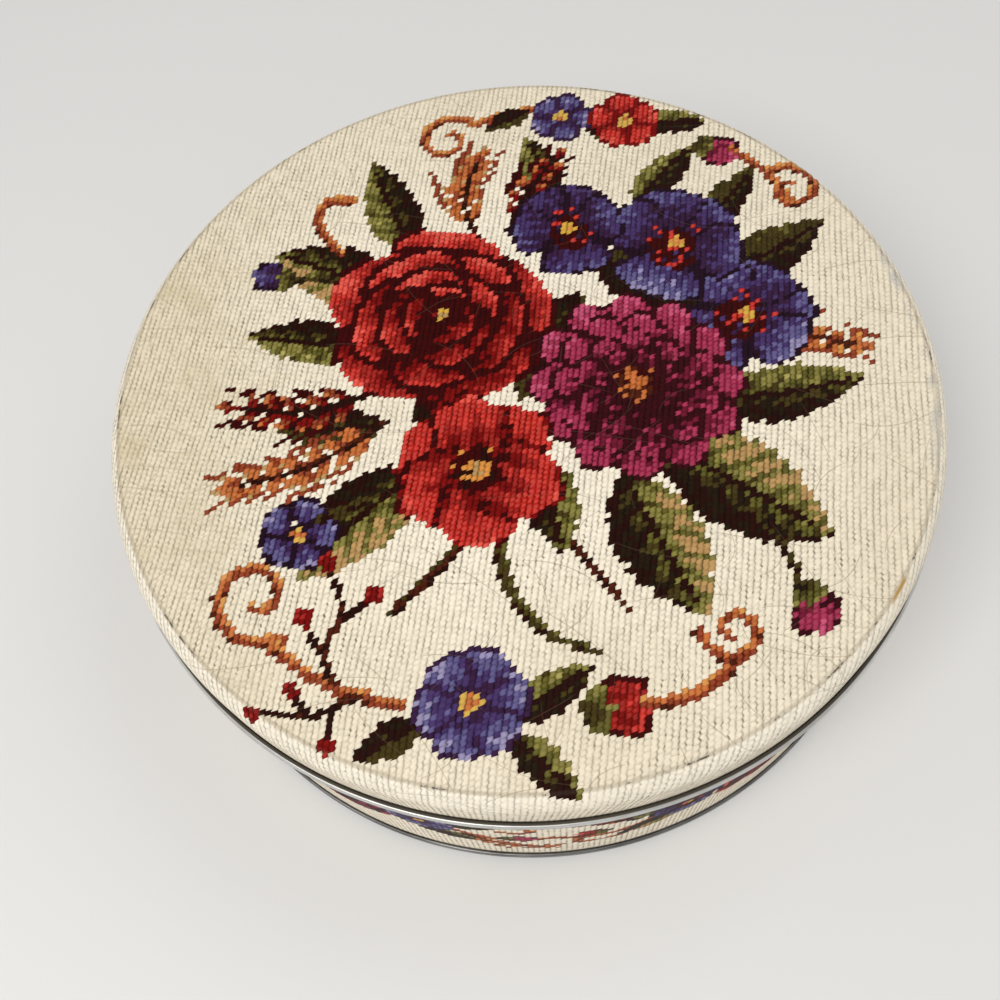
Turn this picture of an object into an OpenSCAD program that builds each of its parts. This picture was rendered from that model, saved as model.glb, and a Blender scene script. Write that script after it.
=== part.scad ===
// Round slip-lid tin used as a bobbin box: drawn lid, rolled body wall, seamed base.
// Millimetres, +Z up, origin on the standing plane at the middle of the tin.
// The side seam is at the back, on +Y.

/* [Body wall] */
// Outside diameter of the body wall
body_d = 195.8; // [120:0.2:260]
// Height of the body wall from the standing plane to its top rim
body_h = 65.5; // [40:0.5:160]
// Sheet thickness of the body wall
body_t = 0.25; // [0.2:0.01:0.35]
// Diameter of the inward curl round the top rim
rim_curl_d = 2; // [1.6:0.1:3]
// Flat width of the locked side seam
side_seam_w = 5; // [3:0.1:9]

/* [Lid] */
// Sheet thickness of the lid
lid_t = 0.25; // [0.2:0.01:0.35]
// Depth of the lid from its panel to the bottom of its curl
lid_depth = 15; // [11:0.5:24]
// Outside radius of the rounded shoulder
shoulder_r = 5.5; // [4:0.1:8]
// Fall of the shoulder just outside the crease, in degrees
crease_slope = 30; // [10:1:45]
// Outside bend radius of the crease round the panel
crease_r = 0.5; // [0.4:0.05:1]
// Diameter of the outward curl round the bottom of the skirt
lid_curl_d = 1.8; // [1.4:0.1:3]

/* [Base] */
// Sheet thickness of the base
base_t = 0.25; // [0.2:0.01:0.35]
// Height of the double seam round the base
base_seam_h = 3; // [2.4:0.1:5]
// Height of the panel's underside above the standing plane
base_recess = 3.2; // [3:0.1:5]
// Bend radius where the panel turns down inside the wall
base_corner_r = 1.2; // [0.8:0.1:2]
// Distance from the body wall in to the middle of the stiffening bead
bead_inset = 14; // [9:0.5:24]
// Height of the stiffening bead
bead_h = 0.9; // [0.5:0.1:1.6]
// Bend radius of the stiffening bead
bead_r = 3; // [2:0.5:5]

/* [Fits] */
// Clearance all round between the body wall and the lid's skirt
lid_clear = 0.3; // [0.2:0.05:0.6]
// Gap between the rim curl and the lid's shoulder with the lid down
seat_gap = 0.1; // [0.05:0.01:0.15]
// Gap between the folded layers of a seam
fold_gap = 0.03; // [0.02:0.01:0.06]

/* [Hidden] */
$fn = 180;

// body wall
body_r = body_d / 2;
wall_c = body_r - body_t / 2;
rim_r = (rim_curl_d - body_t) / 2;
rim_x = body_r - rim_curl_d / 2;
rim_z = body_h - rim_curl_d / 2;
rim_turn = 300;

// double seam, layer by layer outwards from the wall
hook_in_c = body_r + fold_gap + base_t / 2;
hook_out_c = body_r + 2 * fold_gap + base_t + body_t / 2;
seam_out_c = hook_out_c + body_t / 2 + fold_gap + base_t / 2;
chuck_c = body_r - body_t - fold_gap - base_t / 2;
body_u_r = (hook_out_c - wall_c) / 2;
body_u_x = (hook_out_c + wall_c) / 2;
body_u_z = base_t + fold_gap + body_t / 2 + body_u_r;
cover_u_r = (seam_out_c - hook_in_c) / 2;
cover_u_x = (seam_out_c + hook_in_c) / 2;
cover_u_z = base_seam_h - base_t / 2 - cover_u_r;
foot_r = 0.3;
hook_lap = 0.3;

// base panel
panel_z = base_recess + base_t / 2;
corner_c = base_corner_r + base_t / 2;
bead_x = body_r - bead_inset;
bead_turn = acos(1 - bead_h / (2 * bead_r));
bead_half = 2 * bead_r * sin(bead_turn);

// side seam, four layers deep on the inside
seam_pitch = body_t + fold_gap;
seam_half = side_seam_w / 2;
seam_reach = seam_half + 3 * seam_pitch + 0.2;
seam_flat = sqrt(wall_c * wall_c - seam_reach * seam_reach);
seam_low = base_recess + base_t + 0.8;
seam_high = body_h - rim_curl_d - 0.5;
seam_tuck = 0.3;
seam_notch = 0.05;
seam_t = body_t - 0.05;

// lid
skirt_in = body_r + lid_clear;
skirt_c = skirt_in + lid_t / 2;
skirt_out = skirt_in + lid_t;
curl_r = (lid_curl_d - lid_t) / 2;
curl_x = skirt_in + lid_curl_d / 2;
curl_turn = 300;
shoulder_x = skirt_out - shoulder_r;
shoulder_c = shoulder_r - lid_t / 2;
crease_c = crease_r - lid_t / 2;
crease_angle = 90 - crease_slope;
seat_reach = shoulder_r - lid_t - rim_curl_d / 2 - seat_gap;
shoulder_z = rim_z - sqrt(pow(seat_reach, 2) - pow(rim_x - shoulder_x, 2));
crease_x = shoulder_x + (shoulder_c - crease_c) * cos(crease_angle);
crease_z = shoulder_z + (shoulder_c - crease_c) * sin(crease_angle);
lid_top = crease_z + crease_r;
curl_z = lid_top - lid_depth + lid_curl_d / 2;

// A sheet's path is a list of bends [centre x, centre z, middle radius, from angle, to angle].
// A plain end is a bend of radius 0 whose angle points to the right-hand side of the path.
bend_step = 10;

function bend_side(b, off) =
    let (turn = b[4] < b[3] ? -1 : 1)
    let (n = max(1, ceil(abs(b[4] - b[3]) / bend_step)))
    let (count = b[2] == 0 ? 0 : n)
    [for (i = [0:count])
        let (a = b[3] + (b[4] - b[3]) * i / n)
        [b[0] + (b[2] + turn * off) * cos(a), b[1] + (b[2] + turn * off) * sin(a)]];

function sheet_side(path, off) = [for (b = path) each bend_side(b, off)];

function flipped(pts) = [for (i = [len(pts) - 1:-1:0]) pts[i]];

module sheet(path, t) {
    polygon(concat(sheet_side(path, t / 2), flipped(sheet_side(path, -t / 2))));
}

// double-seam hook at the foot, plain wall, and the top edge curled inwards
module wall_profile() {
    sheet([
        [hook_out_c, cover_u_z - hook_lap, 0, 180, 180],
        [body_u_x, body_u_z, body_u_r, 0, -180],
        [rim_x, rim_z, rim_r, 0, rim_turn]
    ], body_t);
}

// plan of the locked side seam: two hooks folded into each other on the inside
module side_seam() {
    y1 = seam_flat;
    y2 = y1 - seam_pitch;
    y3 = y2 - seam_pitch;
    y4 = y3 - seam_pitch;
    out = seam_reach + seam_tuck;
    sheet([
        [-out, y1, 0, 270, 270],
        [seam_half, y2, seam_pitch, 90, -90],
        [-seam_half + seam_pitch, y3, 0, 90, 90]
    ], seam_t);
    sheet([
        [seam_half - seam_pitch, y2, 0, 90, 90],
        [-seam_half, y3, seam_pitch, 90, 270],
        [seam_half, y4, 0, 270, 270],
        [seam_half + seam_pitch, y4 + seam_pitch, seam_pitch, -90, 0],
        [seam_half + 3 * seam_pitch, y1 - seam_pitch, seam_pitch, 180, 90],
        [out, y1, 0, 270, 270]
    ], seam_t);
}

module body_wall() {
    color("#d9cdb4") {
        difference() {
            rotate_extrude() wall_profile();
            translate([-seam_reach, 0, seam_low])
                cube([2 * seam_reach, body_d, seam_high - seam_low]);
        }
        translate([0, 0, seam_low + seam_notch])
            linear_extrude(seam_high - seam_low - 2 * seam_notch)
                side_seam();
    }
}

// countersunk panel with a stiffening bead, folded round the body's hook
module base() {
    color("#6d6a66")
        rotate_extrude()
            sheet([
                [0, panel_z, 0, 270, 270],
                [bead_x - bead_half, panel_z + bead_r, bead_r, 270, 270 + bead_turn],
                [bead_x, panel_z + bead_h - bead_r, bead_r, 90 + bead_turn, 90 - bead_turn],
                [bead_x + bead_half, panel_z + bead_r, bead_r, 270 - bead_turn, 270],
                [chuck_c - corner_c, panel_z - corner_c, corner_c, 90, 0],
                [chuck_c + foot_r, base_t / 2 + foot_r, foot_r, 180, 270],
                [seam_out_c - foot_r, base_t / 2 + foot_r, foot_r, 270, 360],
                [cover_u_x, cover_u_z, cover_u_r, 0, 180],
                [hook_in_c, body_u_z + hook_lap, 0, 180, 180]
            ], base_t);
}

// flat panel, crease, rounded shoulder, plain skirt and outward curl in one drawn sheet
module lid() {
    color("#e8dcc0")
        rotate_extrude()
            sheet([
                [0, lid_top - lid_t / 2, 0, 270, 270],
                [crease_x, crease_z, crease_c, 90, crease_angle],
                [shoulder_x, shoulder_z, shoulder_c, crease_angle, 0],
                [curl_x, curl_z, curl_r, 180, 180 + curl_turn]
            ], lid_t);
}

body_wall();
base();
lid();
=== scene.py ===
import math

import bmesh
import bpy
import numpy as np
from mathutils import Matrix, Vector


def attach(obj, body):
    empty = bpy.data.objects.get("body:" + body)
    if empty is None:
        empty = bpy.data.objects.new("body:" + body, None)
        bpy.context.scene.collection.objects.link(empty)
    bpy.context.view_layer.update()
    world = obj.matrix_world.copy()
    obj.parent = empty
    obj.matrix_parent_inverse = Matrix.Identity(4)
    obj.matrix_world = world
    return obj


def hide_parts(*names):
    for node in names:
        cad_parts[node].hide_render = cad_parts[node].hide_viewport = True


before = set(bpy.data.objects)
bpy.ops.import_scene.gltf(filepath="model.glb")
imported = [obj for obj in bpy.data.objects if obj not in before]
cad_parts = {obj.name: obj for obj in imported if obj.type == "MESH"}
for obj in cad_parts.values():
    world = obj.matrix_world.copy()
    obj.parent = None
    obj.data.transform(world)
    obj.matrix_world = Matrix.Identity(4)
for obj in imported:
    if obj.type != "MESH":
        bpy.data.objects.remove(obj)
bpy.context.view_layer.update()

mm = 0.001
weaveSpan = 640   # lattice steps across the whole weave map, both ways
ringSteps = 360   # corners of every ring round the tin
tinyGap = 1e-6    # in metres; corners closer than this are one
spareCloth = 2    # millimetres of canvas left past an edge until it is cut
print("bobbin box: frame loaded")


def editMode():
    bpy.ops.object.mode_set(mode="EDIT")


def objectMode():
    bpy.ops.object.mode_set(mode="OBJECT")


def deselectAll():
    if bpy.context.object and bpy.context.object.mode == "EDIT":
        objectMode()
    for item in bpy.context.selected_objects:
        item.select_set(False)


def finishPiece(piece, body, slotName, *nodes):
    deselectAll()
    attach(piece, body)
    if nodes:
        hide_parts(*nodes)
    print("bobbin box:", piece.name, "has", len(piece.data.polygons), "faces")


# thread colours
threads = {
    "cream": "#FBEFD8",
    "claret": "#3A0202", "garnet": "#740604", "crimson": "#98160F", "scarlet": "#BE2419",
    "coral": "#DC4A3C",
    "wine": "#36060E", "plum": "#6A142C", "fuchsia": "#9C2648", "rose": "#BC4468",
    "night": "#220C1C", "violet": "#361C3C", "iris": "#443060", "blue": "#585080", "sky": "#8E86AE",
    "pine": "#221506", "forest": "#403410", "moss": "#585218", "olive": "#7C7430", "lime": "#A89C50",
    "tan": "#B48C54", "straw": "#DCC08C",
    "bark": "#260903", "umber": "#4A1A0A", "rust": "#8A3616", "orange": "#BE6428", "amber": "#D88C3C",
    "gold": "#D8A83C",
}


def linearColour(text):
    parts = [int(text[i:i + 2], 16) / 255 for i in (1, 3, 5)]
    return [c / 12.92 if c <= 0.04045 else ((c + 0.055) / 1.055) ** 2.4 for c in parts]


threadColour = {name: linearColour(text) for name, text in threads.items()}


# short ways to add shader nodes
def newMaterial(name):
    material = bpy.data.materials.new(name)
    material.use_nodes = True
    tree = material.node_tree
    return material, tree, tree.nodes["Principled BSDF"]


def isSocket(value):
    return isinstance(value, bpy.types.NodeSocket)


def setInputs(node, inputs):
    for key, value in inputs.items():
        if isSocket(value):
            node.id_data.links.new(value, node.inputs[key])
        else:
            node.inputs[key].default_value = value


def addNode(kind, inputs, tree=None, output=0, **settings):
    # gives the new node's output; it joins the tree of the sockets it is given
    tree = tree or next(value.id_data for value in inputs.values() if isSocket(value))
    node = tree.nodes.new("ShaderNode" + kind)
    for key, value in settings.items():
        setattr(node, key, value)
    setInputs(node, inputs)
    return node.outputs[output]


def calc(operation, *values):
    return addNode("Math", dict(enumerate(values)), operation=operation)


def chain(operation, first, *others):
    for value in others:
        first = calc(operation, first, value)
    return first


def times(*values):
    return chain("MULTIPLY", *values)


def plus(*values):
    return chain("ADD", *values)


def anyOf(*masks):
    return chain("MAXIMUM", *masks)


def minus(value, other):
    return calc("SUBTRACT", value, other)


def steer(value, slope, start):
    # value times slope, plus start
    return calc("MULTIPLY_ADD", value, slope, start)


def fade(value, low, high, start=0.0, stop=1.0):
    # a smooth step: start below low, stop above high
    return addNode("MapRange", {
        "Value": value, "From Min": low, "From Max": high, "To Min": start, "To Max": stop,
    }, interpolation_type="SMOOTHSTEP")


def near(value, middle, core, reach):
    # 1 within core of the middle, 0 from reach on
    return fade(calc("ABSOLUTE", minus(value, middle)), core, reach, 1, 0)


def speckle(vector, scale, detail=2.0, rough=0.5):
    return addNode("TexNoise", {"Vector": vector, "Scale": scale, "Detail": detail, "Roughness": rough})


def patches(vector, scale, detail, rough, low, high):
    return fade(speckle(vector, scale, detail, rough), low, high)


def joined(x, y, z=0.0):
    return addNode("CombineXYZ", {"X": x, "Y": y, "Z": z})


def split(vector):
    return addNode("SeparateXYZ", {"Vector": vector}).node.outputs


def scaled(vector, factor):
    return addNode("VectorMath", {0: vector, "Scale": factor}, operation="SCALE")


def chanceAt(*place):
    # the same chance for all points with the same place
    return addNode("TexWhiteNoise", {"Vector": joined(*place)}, noise_dimensions="3D")


def tint(factor, first, second, way="MIX"):
    # one colour over another; a plain colour is given as its three parts
    first, second = (c if isSocket(c) else (*c, 1) for c in (first, second))
    return addNode("Mix", {"Factor": factor, 6: first, 7: second}, output=2,
                   data_type="RGBA", blend_type=way)


def stepsRamp(value, stops):
    shade = addNode("ValToRGB", {"Fac": value})
    ramp = shade.node.color_ramp
    ramp.interpolation = "EASE"
    while len(ramp.elements) < len(stops):
        ramp.elements.new(0.5)
    for element, (place, level) in zip(ramp.elements, stops):
        element.position = place
        element.color = (level, level, level, 1)
    return shade


def bumped(strength, distance, height):
    return addNode("Bump", {"Strength": strength, "Distance": distance, "Height": height})


def ownPlace(tree):
    # the point on the piece in millimetres, its parts, and its distance from the tin's axis
    place = scaled(addNode("TexCoord", {}, tree, "Object"), 1 / mm)
    x, y, z = split(place)
    return place, x, y, z, calc("SQRT", plus(times(x, x), times(y, y)))


def hairlines(place, width, degrees, seed, gap, length, share):
    # fine scratches near one direction, at most one to each band of the given gap
    bent = times(minus(speckle(place, 0.012, 1.0), 0.5), 30.0)
    x, y, _ = split(addNode("VectorRotate", {"Vector": place, "Angle": math.radians(degrees)},
                            rotation_type="Z_AXIS"))
    run = calc("DIVIDE", plus(x, seed * 31.7), length)
    side = calc("DIVIDE", plus(y, bent, seed * 17.3), gap)
    band = calc("FLOOR", side)
    run = plus(run, times(chanceAt(band, float(seed)), 9.0))
    chance = chanceAt(band, calc("FLOOR", run), float(seed))
    # each piece has its own slant and its own bow
    along = calc("FRACT", run)
    fromMiddle = minus(along, 0.5)
    bow = steer(calc("FRACT", times(chance, 53.0)), 5.0, -2.5)
    middle = plus(steer(minus(chance, 0.5), along, 0.5), times(bow, fromMiddle, fromMiddle))
    line = times(near(calc("FRACT", side), middle, width * 0.4 / gap, width / gap),
                 near(along, 0.5, 0.30, 0.48))
    return times(line, calc("LESS_THAN", calc("FRACT", times(chance, 7.0)), share))


# the printed sheet and the bare tinplate
printFinish = {
    # how much colour is left in the gaps and on the top of a stitch, on cream and on dark threads
    "creamGap": 0.42, "darkGap": 0.22, "creamTop": 1.03, "darkTop": 1.12,
    # how a stitch is lit across its rib and along it
    "ribShape": [(0, 0), (0.10, 0.55), (0.26, 0.96), (0.50, 1), (0.74, 0.86), (0.90, 0.42), (1, 0)],
    "rowShape": [(0, 0.30), (0.22, 0.84), (0.48, 1), (0.66, 0.96), (0.84, 0.72), (1, 0.30)],
    "roughness": 0.42, "wallRoughness": 0.5,
    "gloss": 0.06,   # old thin varnish, so dark threads stay dark
    "scratchWidth": 0.14,
    # direction, seed, gap between bands, length and share of scratches that show
    "scratches": [(6, 1, 5.0, 26, 0.16), (-41, 2, 6.5, 14, 0.20), (58, 3, 7.0, 20, 0.16),
                  (-72, 4, 8.0, 12, 0.20), (27, 5, 8.0, 30, 0.12)],
    "seamMargin": 3.6, "seamLine": 2.9,   # half width of the bare margin, and place of the joint in it
    # colour and strength of what lies over the print
    "woolSheen": ((0.85, 0.74, 0.66), 1.0), "speck": ((0.060, 0.048, 0.030), 0.8),
    "soil": ((0.54, 0.43, 0.24), 0.10), "soilSpots": ((0.54, 0.43, 0.24), 0.16),
    # dirt on the panel, also used as painted shade towards the rim and the crease, then scratches
    "dirtAndShade": ((0.54, 0.43, 0.24), 1.0), "scratch": ((0.30, 0.21, 0.13), 1.0),
    # a painted highlight on the shoulder, and a painted shadow line along the crease
    "shoulderHighlight": ((0.98, 0.93, 0.82), 0.22), "crease": ((0.33, 0.27, 0.19), 0.42),
    "scraped": ((0.50, 0.30, 0.10), 1.0), "rubbed": ((0.36, 0.38, 0.40), 0.5),
    # chipped paint, then painted shade on the skirt just above the curl
    "chipped": ((0.035, 0.030, 0.026), 0.9), "skirtFootShade": ((0.10, 0.085, 0.07), 0.55),
    "wallFoot": ((0.16, 0.13, 0.10), 0.6), "margin": ((0.50, 0.46, 0.38), 1.0),
    "joint": ((0.03, 0.026, 0.022), 0.85),
}


def overlay(colour, kind, *masks):
    over, strength = printFinish[kind]
    return tint(times(*masks, strength), colour, over)


def softened(shape, amount):
    return minus(1.0, times(minus(1.0, shape), amount))


def shadeStitches(tree, place, x, onLid):
    # each stitch is a rounded bead: dark in the gap between ribs, lighter on top
    f = printFinish
    thread = addNode("Attribute", {}, tree, attribute_name="thread")
    u, v, _ = split(scaled(addNode("UVMap", {}, tree, uv_map="weave"), float(weaveSpan)))
    across, column = calc("FRACT", u), calc("FLOOR", u)
    leaned = minus(v, times(across, 0.5))
    ribShape = stepsRamp(across, f["ribShape"])
    rowShape = stepsRamp(calc("FRACT", leaned), f["rowShape"])
    # how deep the gap between two stitches of a rib goes differs from stitch to stitch
    depth = steer(chanceAt(column, calc("FLOOR", plus(leaned, 0.5)), 3.0), 0.66, 0.02)
    # and some gaps between ribs are drawn tight, others stand open for a while
    gapIndex = calc("FLOOR", plus(u, 0.5))
    gapPlace = joined(times(gapIndex, 7.31), times(v, 0.30))
    openness = fade(speckle(gapPlace, 1.0), 0.36, 0.64, 0.5, 1.2)
    bead = times(softened(ribShape, openness), softened(rowShape, depth))
    light = addNode("RGBToBW", {"Color": thread})
    pale = fade(light, 0.12, 0.55)
    gap = steer(pale, f["creamGap"] - f["darkGap"], f["darkGap"])
    if onLid:
        gap = minus(gap, times(pale, fade(x, -95, -20, 0.16, 0)))   # more dirt in the gaps on the left
    top = steer(pale, f["creamTop"] - f["darkTop"], f["darkTop"])
    shade = plus(gap, times(bead, minus(top, gap)))
    chance = chanceAt(column, calc("FLOOR", leaned))
    shade = times(shade, steer(minus(chance, 0.5), steer(pale, -0.15, 0.24), 1.0))
    # strands of wool along each stitch
    strands = speckle(joined(times(u, 7.0), times(leaned, 2.2)), 1.0, 2.0, 0.6)
    shade = times(shade, steer(minus(strands, 0.5), 0.26, 1.0))
    grey = addNode("CombineColor", {"Red": shade, "Green": shade, "Blue": shade})
    colour = tint(1.0, thread, grey, "MULTIPLY")
    # a little sheen of the wool on the top of dark stitches
    colour = overlay(colour, "woolSheen", fade(bead, 0.72, 0.98), fade(light, 0.02, 0.14),
                     steer(pale, -0.05, 0.05))
    # dark specks of bare ground between the cream ribs, in patches
    speck = times(near(u, gapIndex, 0.07, 0.20), near(calc("FRACT", plus(v, 0.25)), 0.5, 0.16, 0.34),
                  patches(gapPlace, 2.1, 2.0, 0.7, 0.52, 0.60))
    share = plus(patches(place, 0.030, 2.0, 0.5, 0.40, 0.62), fade(x, -75, -30, 0.5, 0))
    return overlay(colour, "speck", speck, calc("MINIMUM", share, 1.0), pale), pale


def ageVarnish(colour, pale, place, flat):
    # yellowed varnish and handling grime, then hairline scratches every way
    f = printFinish
    soil = times(patches(place, 0.022, 4.0, 0.6, 0.42, 0.72), steer(pale, 0.97, 0.03))
    colour = overlay(colour, "soil", soil)
    colour = overlay(colour, "soilSpots", soil, patches(place, 0.5, 3.0, 0.7, 0.45, 0.75))
    cuts = anyOf(*(hairlines(flat, f["scratchWidth"], *scratch) for scratch in f["scratches"]))
    return overlay(colour, "scratch", cuts, steer(pale, 0.38, 0.10)), cuts


def lidWearAndShade(colour, pale, place, x, z, r):
    edge = minus(r, lidSheet["creaseAt"][0])   # how far outside the crease
    # the panel is dirtier to the left; painted shade darkens it towards the rim and at the foot of the
    # crease, and a painted highlight lightens the shoulder
    toLeft = plus(fade(x, -95, -30, 0.38, 0),
                  times(patches(place, 0.07, 4.0, 0.7, 0.46, 0.66), fade(x, -95, 0, 0.22, 0.05)))
    # painted shade: darker towards the rim, and at the foot of the crease, more on the left
    rimShade = anyOf(fade(r, 35, 95, 0, 0.20), times(fade(r, 90, 95.4), fade(x, -70, 60, 0.30, 0.10)))
    colour = overlay(colour, "dirtAndShade", anyOf(toLeft, rimShade), pale, fade(edge, -0.15, 0.55, 1, 0))
    # painted highlight: the shoulder just outside the crease is lighter
    colour = overlay(colour, "shoulderHighlight", fade(edge, 0.25, 0.85), fade(edge, 2.75, 2.95, 1, 0), pale)
    # painted shadow: a thin dark line along the crease
    colour = overlay(colour, "crease", near(edge, 0.05, 0.15, 0.75), steer(pale, 0.9, 0.1))
    colour = overlay(colour, "scraped", near(edge, 0.45, 0.15, 0.60),
                     patches(place, 0.045, 2.0, 0.5, 0.66, 0.70))
    # paint rubbed through to the metal on the right, and chipped off the crease in dashes
    rubbed = times(near(edge, -0.85, 0.4, 1.6), fade(calc("DIVIDE", x, r), 0.93, 0.985),
                   patches(place, 0.12, 3.0, 0.5, 0.40, 0.60))
    chipped = times(near(edge, 0.17, 0.05, 0.30), patches(place, 0.9, 4.0, 0.7, 0.38, 0.52),
                    patches(place, 0.11, 3.0, 0.6, 0.58, 0.62))
    colour = overlay(overlay(colour, "rubbed", rubbed), "chipped", chipped)
    # painted shade: the skirt darkens just above the curl
    colour = overlay(colour, "skirtFootShade", fade(minus(z, lidSheet["skirtFoot"]), 0.44, 1.34, 1, 0))
    return colour, anyOf(chipped, rubbed)


def markWall(colour, x, y, z):
    # darker towards the foot, and a bare margin down the back, where the wall's ends lock together
    f = printFinish
    colour = overlay(colour, "wallFoot", fade(minus(z, wallSheet["printFrom"]), 0.2, 1.8, 1, 0))
    atBack = calc("GREATER_THAN", y, 0.0)
    colour = overlay(colour, "margin", calc("LESS_THAN", calc("ABSOLUTE", x), f["seamMargin"]), atBack)
    joint = times(near(x, f["seamLine"], 0.08, 0.22), atBack)
    return overlay(colour, "joint", joint), times(joint, 3.0)


def makePrint(name, onLid):
    f = printFinish
    material, tree, shader = newMaterial(name)
    place, x, y, z, r = ownPlace(tree)
    colour, pale = shadeStitches(tree, place, x, onLid)
    # scratches are laid on the sheet as if it were unrolled
    if onLid:
        drop = calc("MAXIMUM", minus(lidSheet["panelTop"], z), 0.0)
        flat = scaled(place, plus(calc("DIVIDE", drop, r), 1.0))
    else:
        fromFront = calc("ARCTAN2", x, times(y, -1.0))
        flat = joined(times(fromFront, wallSheet["outside"]), z)
    colour, cuts = ageVarnish(colour, pale, place, flat)
    colour, bare = lidWearAndShade(colour, pale, place, x, z, r) if onLid else markWall(colour, x, y, z)
    worn = anyOf(cuts, bare)
    setInputs(shader, {
        "Base Color": colour, "Specular IOR Level": f["gloss"],
        "Roughness": plus(f["roughness" if onLid else "wallRoughness"],
                          times(speckle(place, 0.25, 3.0), 0.12), times(worn, 0.2)),
        "Normal": bumped(0.12, 0.0004, plus(speckle(place, 0.9), times(worn, -0.25))),
    })
    return material


tinFinish = {
    # lit and dull parts of clean tinplate and of the base
    "clean": ((0.88, 0.87, 0.84), (0.56, 0.54, 0.50)), "dark": ((0.25, 0.24, 0.23), (0.10, 0.095, 0.09)),
    # painted shade for the curl's top and for its underside, then rust
    "curlTopShade": (0.10, 0.088, 0.072), "curlUnderShade": (0.10, 0.095, 0.09), "rust": (0.16, 0.085, 0.045),
    "roughness": 0.24,
    "curlShadeReach": (0.18, 0.40),   # how far out from the curl's middle the painted shade on its top gives way to polished metal
}


def makeTin(name, tone, onCurl=False):
    f = tinFinish
    material, tree, shader = newMaterial(name)
    place, x, y, z, r = ownPlace(tree)
    # fine lines from rolling run round the tin, cloudy patches lie over them
    lines = speckle(joined(times(r, 7.0), times(z, 7.0), times(calc("ARCTAN2", y, x), 2.5)), 1.0, 3.0, 0.6)
    blend = steer(lines, 0.6, times(speckle(place, 0.09, 4.0, 0.6), 0.6))
    colour = tint(fade(blend, 0.42, 0.78), *f[tone])
    rust = times(patches(place, 0.35, 5.0, 0.7, 0.66, 0.74), 0.7)
    colour = tint(rust, colour, f["rust"])
    if onCurl:
        # painted shade on the curl's top, in the crevice under the skirt, and painted shade again round its
        # underside
        out, rise = (minus(value, middle) for value, middle in zip((r, z), lidSheet["curlAt"]))
        curlShade = times(fade(out, *f["curlShadeReach"], 1, 0), fade(rise, 0.24, 0.54))
        colour = tint(curlShade, colour, f["curlTopShade"])
        colour = tint(times(fade(rise, -0.06, 0.44, 1, 0), 0.85), colour, f["curlUnderShade"])
        rust = anyOf(rust, curlShade)
    setInputs(shader, {
        "Base Color": colour, "Metallic": 1.0,
        "Roughness": plus(f["roughness"], times(blend, 0.22), times(rust, 0.25)),
        "Normal": bumped(0.15, 0.0002, lines),
    })
    return material


# motifs, worked stitch by stitch on a cloth; each one covers what it lies over
def newCloth(x, y, seed):
    rng = np.random.default_rng(seed)
    return {
        "x": x, "y": y,
        "paint": np.tile(np.array(threadColour["cream"]), x.shape + (1,)),
        "worked": np.zeros(x.shape, bool),
        "dither": rng.uniform(-0.5, 0.5, x.shape),
        "chance": rng.uniform(0, 1, x.shape),
    }


def sew(cloth, where, tone, shades):
    steps = len(shades) - 1
    pick = np.clip(np.round(tone * steps + cloth["dither"]), 0, steps).astype(int)
    colours = np.array([threadColour[s] for s in shades])[pick]
    cloth["paint"][where] = colours[where]
    cloth["worked"] |= where


def toward(degrees):
    a = math.radians(degrees)
    return np.array([math.cos(a), math.sin(a)])


def turned(cloth, x, y, degrees):
    c, s = toward(degrees)
    dx, dy = cloth["x"] - x, cloth["y"] - y
    return dx * c + dy * s, dy * c - dx * s


def away(cloth, x, y):
    return np.hypot(cloth["x"] - x, cloth["y"] - y)


def petal(cloth, x, y, degrees, length, width, shades,
          blunt=0.5, foot=0.0, edge=None, shift=0.0, steep=1.0):
    u, v = turned(cloth, x, y, degrees)
    u = u / length
    half = np.sin(math.pi * np.clip(u, 0, 1) ** (1 + blunt)) ** 0.75
    side = np.abs(v) / (width / 2)
    inside = (u > 0) & (u < 1) & (side < half)
    if edge:
        sew(cloth, inside, 0, [edge])
        inside &= (side < half - 2.2 / width) & (u < 1 - 1.3 / length)
    tone = 0.08 + shift + np.clip(u, 0, 1) ** steep - 0.25 * side ** 2 + 0.12 * np.sin(v * 2.2)
    sew(cloth, inside & (u > foot), tone, shades)


def disc(cloth, x, y, r, shades, ragged=0.0):
    d = away(cloth, x, y)
    sew(cloth, d < r + ragged * (cloth["chance"] - 0.5) * 2, 1 - d / r, shades)


def cuppedPetal(cloth, x, y, a, reach, radius, squash=1.0):
    # how far stitches lie out from the petal's middle and across it, in its own radii
    cx, cy = toward(a) * reach * [1, squash]
    out, across = turned(cloth, x + cx, y + cy, a)
    return out / radius, across / radius


def cabbageRose(cloth, x, y, size, degrees, shades):
    # rings of cupped petals from the outside in, with lit rims and a dark fold behind each one
    for count, reach, radius, start in [(5, 0.52, 0.52, 0), (5, 0.37, 0.43, 38), (4, 0.23, 0.33, 12),
                                        (3, 0.11, 0.23, 66)]:
        for k in range(count):
            a = degrees + start + 360 * k / count
            out, across = cuppedPetal(cloth, x, y, a, size * reach, size * radius, 0.94)
            d = np.hypot(out * 1.12, across) * (1 + 0.06 * np.sin(3 * np.arctan2(across, out) + 2 * k))
            onRose = away(cloth, x, y) < size * 1.02
            sew(cloth, (d < 1.0 + 1.9 / (radius * size)) & cloth["worked"] & onRose, 0.08, shades)
            lit = 0.30 + 0.16 * math.cos(math.radians(a - 115))
            tone = lit + 0.50 * out + 0.22 * d ** 3 + 0.10 * np.sin(7 * across + k) - 0.18 * np.abs(across)
            sew(cloth, d < 1.0, tone, shades)
    disc(cloth, x, y, size * 0.14, shades[:3])
    disc(cloth, x + 0.6, y + 0.4, size * 0.06, ["gold", "tan"])


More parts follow.
